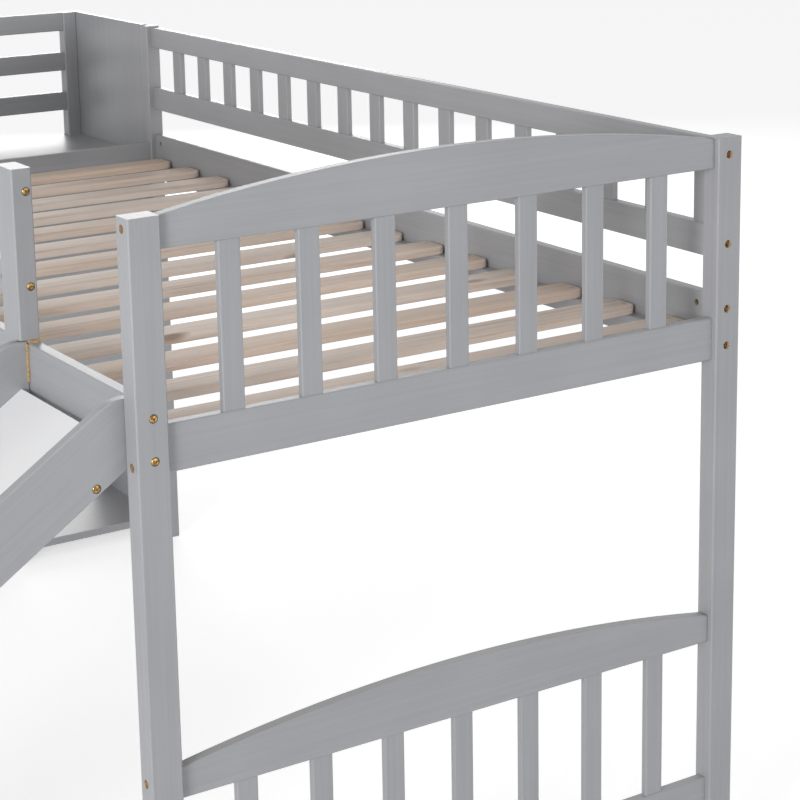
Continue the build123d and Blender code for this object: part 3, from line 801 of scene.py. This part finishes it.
class LOFTBED_OT_build_stage(bpy.types.Operator):
    """Lay the floor, and set up the lights, the world and the camera"""
    bl_idname = "loft_bed.build_stage"
    bl_label = "Build Stage"

    def execute(self, context):
        stage = context.scene.loft_bed_stage
        context.scene.view_settings.view_transform = "Standard"
        self.lay_floor(context, stage)
        self.light_world(context, stage)
        for name, (place, size, power) in SOFTBOXES.items():
            softbox(context, name, place, size, getattr(stage, power))
        self.aim_camera(context, stage)
        return {"FINISHED"}

    def lay_floor(self, context, stage):
        """A matte floor that keeps the bed's shadow, with part of its white there before it is lit."""
        bm = bmesh.new()
        bmesh.ops.create_grid(bm, x_segments=1, y_segments=1, size=stage.floor_size / 2)
        mesh = kept(bm, "studio_floor")
        floor = bpy.data.objects.new("studio_floor", mesh)
        context.scene.collection.objects.link(floor)
        material, tree = new_material("studio_floor")
        matte = add(tree, "ShaderNodeBsdfDiffuse", {"Color": stage.floor})
        glow = add(tree, "ShaderNodeMath", {0: seen(tree), 1: stage.floor_glow}, operation="MULTIPLY")
        light = add(tree, "ShaderNodeEmission", {"Strength": glow.outputs["Value"]})
        both = add(tree, "ShaderNodeAddShader", {0: matte.outputs["BSDF"], 1: light.outputs["Emission"]})
        surface(tree, both.outputs["Shader"])
        mesh.materials.append(material)

    def light_world(self, context, stage):
        """A white world that lights the bed a little more from the walls than from the ceiling."""
        world = bpy.data.worlds.new("studio_world")
        context.scene.world = world
        world.use_nodes = True
        tree = world.node_tree
        tree.nodes.clear()
        way = add(tree, "ShaderNodeSeparateXYZ", {0: add(tree, "ShaderNodeTexCoord").outputs["Generated"]})
        room = add(tree, "ShaderNodeMapRange", {"Value": way.outputs["Z"], "From Min": 0.1,
                                                "From Max": 0.8, "To Min": stage.level_light,
                                                "To Max": stage.top_light})
        level = add(tree, "ShaderNodeMapRange", {"Value": seen(tree), "To Min": room.outputs["Result"],
                                                 "To Max": 1.0})
        back = add(tree, "ShaderNodeBackground", {"Color": srgb("#ffffff"),
                                                  "Strength": level.outputs["Result"]})
        add(tree, "ShaderNodeOutputWorld", {"Surface": back.outputs["Background"]})

    def aim_camera(self, context, stage):
        """A camera that looks at the bed from its foot end."""
        data = bpy.data.cameras.new("photo_camera")
        data.lens = stage.lens
        data.sensor_width = CAMERA_SENSOR
        data.shift_y = stage.shift
        data.clip_end = CAMERA_REACH
        camera = bpy.data.objects.new("photo_camera", data)
        context.scene.collection.objects.link(camera)
        camera.matrix_world = (Matrix.Translation(CAMERA_PLACE)
                               @ Matrix.Rotation(-CAMERA_YAW, 4, "Z")
                               @ Matrix.Rotation(math.pi / 2 - CAMERA_PITCH, 4, "X")
                               @ Matrix.Rotation(-CAMERA_ROLL, 4, "Z"))
        context.scene.camera = camera


OPERATORS = (
    LOFTBED_OT_paint_frame,
    LOFTBED_OT_paint_foot_panels,
    LOFTBED_OT_paint_guards,
    LOFTBED_OT_paint_stairs,
    LOFTBED_OT_dress_slide,
    LOFTBED_OT_dress_packers,
    LOFTBED_OT_make_slats,
    LOFTBED_OT_make_slat_screws,
    LOFTBED_OT_make_bolts,
    LOFTBED_OT_make_bore_sleeves,
    LOFTBED_OT_dress_cross_nuts,
    LOFTBED_OT_build_stage,
)


class LOFTBED_PT_sidebar(bpy.types.Panel):
    """Lists the bed's sizes, colours and steps"""
    bl_idname = "LOFTBED_PT_sidebar"
    bl_label = "Loft Bed"
    bl_space_type = "VIEW_3D"
    bl_region_type = "UI"
    bl_category = "Loft Bed"

    def draw(self, context):
        for key, group in GROUPS.items():
            box = self.layout.box()
            for field in group.__annotations__:
                box.prop(getattr(context.scene, key), field)
        for operator in OPERATORS:
            self.layout.operator(operator.bl_idname)


def register():
    for cls in (*GROUPS.values(), *OPERATORS, LOFTBED_PT_sidebar):
        bpy.utils.register_class(cls)
    for key, group in GROUPS.items():
        setattr(bpy.types.Scene, key, PointerProperty(type=group))


def unregister():
    for key in GROUPS:
        delattr(bpy.types.Scene, key)
    for cls in reversed((*GROUPS.values(), *OPERATORS, LOFTBED_PT_sidebar)):
        bpy.utils.unregister_class(cls)


def main():
    """Builds the whole scene, one operator after the other."""
    register()
    for operator in OPERATORS:
        package, call = operator.bl_idname.split(".")
        getattr(getattr(bpy.ops, package), call)()


if __name__ == "__main__":
    main()
